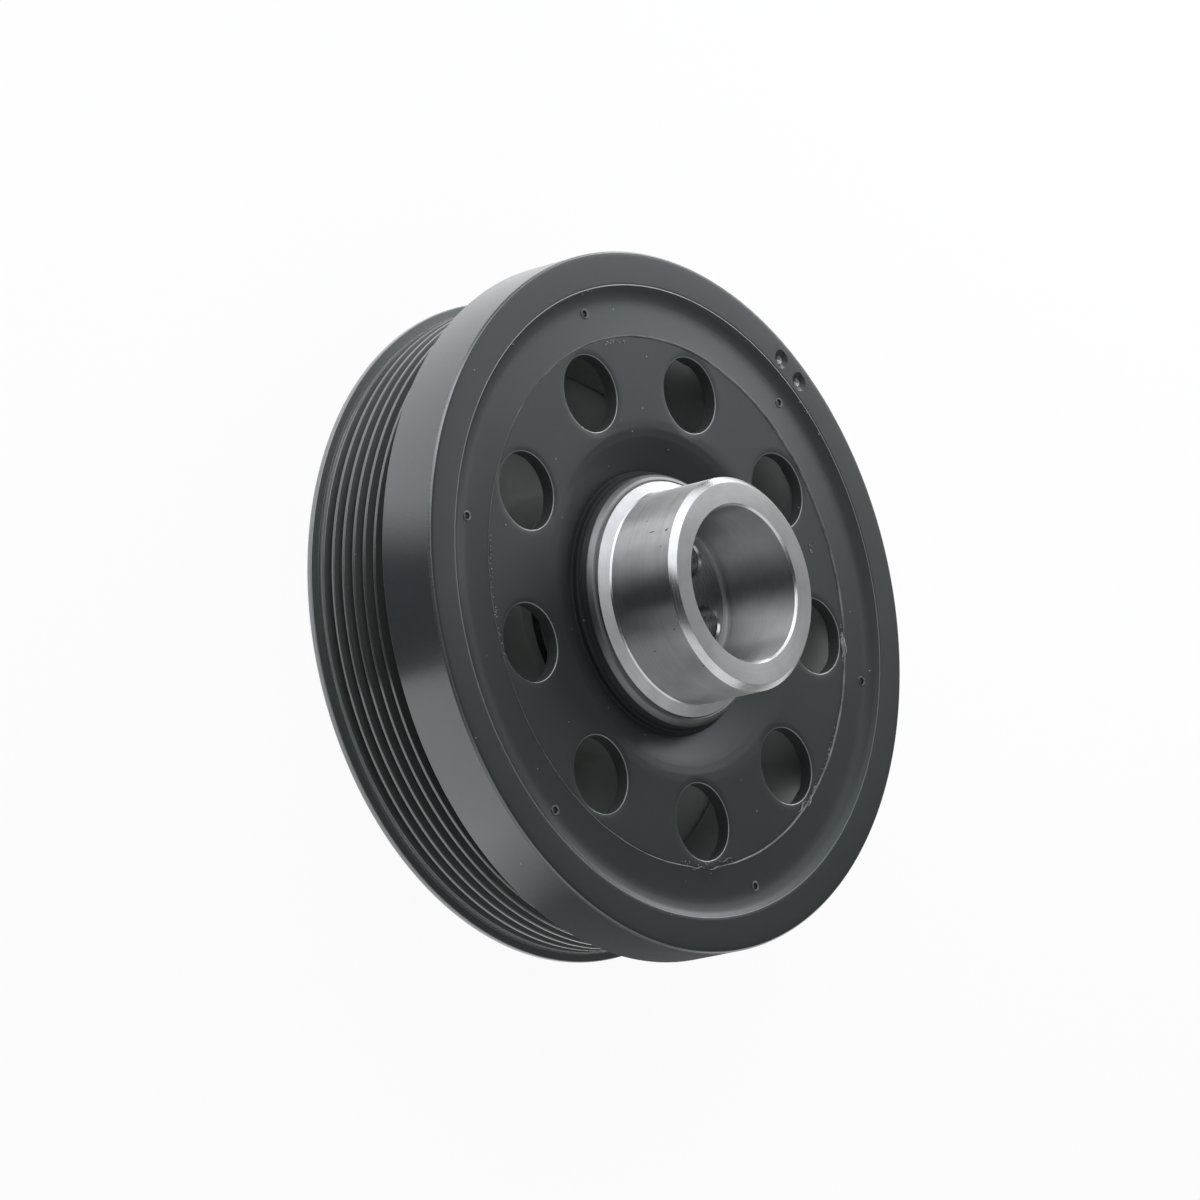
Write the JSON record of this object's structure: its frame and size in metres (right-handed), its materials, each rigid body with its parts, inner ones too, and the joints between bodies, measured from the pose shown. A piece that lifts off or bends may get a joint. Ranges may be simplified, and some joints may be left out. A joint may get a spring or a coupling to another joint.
{
  "type": "harmonic balancer",
  "caption": "Crankshaft harmonic balancer with bare steel nose, dished holed web, rubber-mounted inertia ring and grooved belt pulley.",
  "frame": {"origin": "middle of the rear rim that the part stands on", "axes": "+Z along the shaft axis towards the nose, one web hole on -Y"},
  "size_m": [0.181, 0.181, 0.07],
  "materials": {
    "turned_steel": "fine turned, bare",
    "painted_disc": "semi-gloss black paint on pressed steel",
    "painted_ring": "semi-gloss black paint on turned cast iron",
    "damper_rubber": "moulded rubber under a thin coat of black paint",
    "painted_pulley": "semi-gloss black paint on turned steel",
    "isolator_rubber": "moulded rubber, matt",
    "bush_plastic": "dark filled plastic, smooth"
  },
  "bodies": {
    "root": {"hub": "turned_steel", "hub_disc": "painted_disc", "inertia_ring": "painted_ring", "damper_rubber": "damper_rubber", "belt_pulley": "painted_pulley", "isolator_rubber": "isolator_rubber", "pulley_bush": "bush_plastic"}
  },
  "joints": []
}
